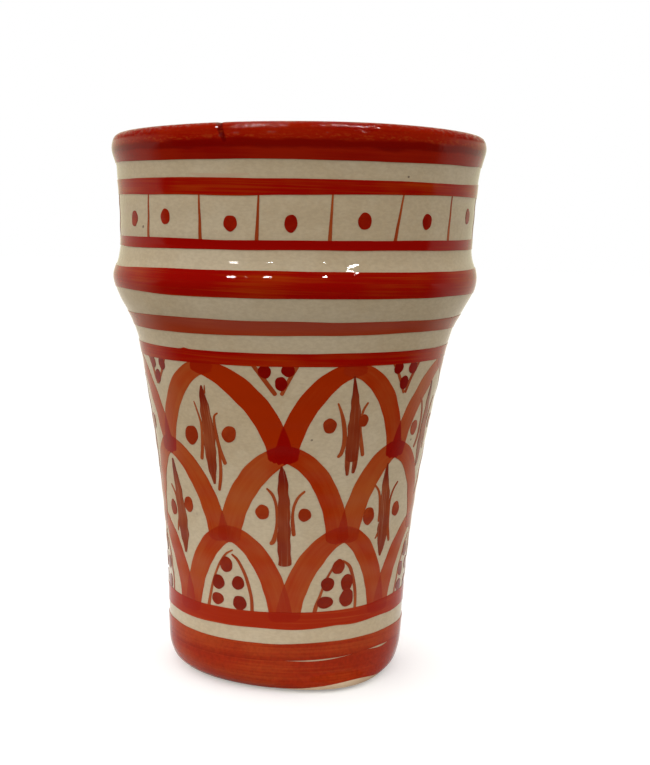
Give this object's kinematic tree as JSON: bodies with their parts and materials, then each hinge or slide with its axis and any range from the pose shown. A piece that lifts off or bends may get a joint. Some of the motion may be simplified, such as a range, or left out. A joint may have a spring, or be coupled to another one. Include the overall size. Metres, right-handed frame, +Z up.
{
  "type": "earthenware mug",
  "caption": "Handleless thrown earthenware mug with a rolled lip, a collar round the shoulder and a tapered body on a turned foot, glazed cream and banded in red; holds a drink.",
  "frame": {"origin": "middle of the foot, on the table", "axes": "+Z up along the axis of the wheel; -Y towards the side seen in the picture"},
  "size_m": [0.0806, 0.0806, 0.1169],
  "materials": {
    "buff_clay": "bare fired earthenware, matt",
    "cream_glaze": "cream glaze, glossy, lightly crazed",
    "brick_red": "brushed red glaze colour, glossy"
  },
  "bodies": {
    "root": {"clay_body": "buff_clay", "inner_glaze": "cream_glaze", "outer_glaze": "cream_glaze", "lip_band": "brick_red", "upper_frieze_ring": "brick_red", "lower_frieze_ring": "brick_red", "collar_band": "brick_red", "shoulder_ring": "brick_red", "field_top_ring": "brick_red", "field_base_ring": "brick_red", "upper_foot_band": "brick_red", "lower_foot_band": "brick_red"}
  },
  "joints": []
}
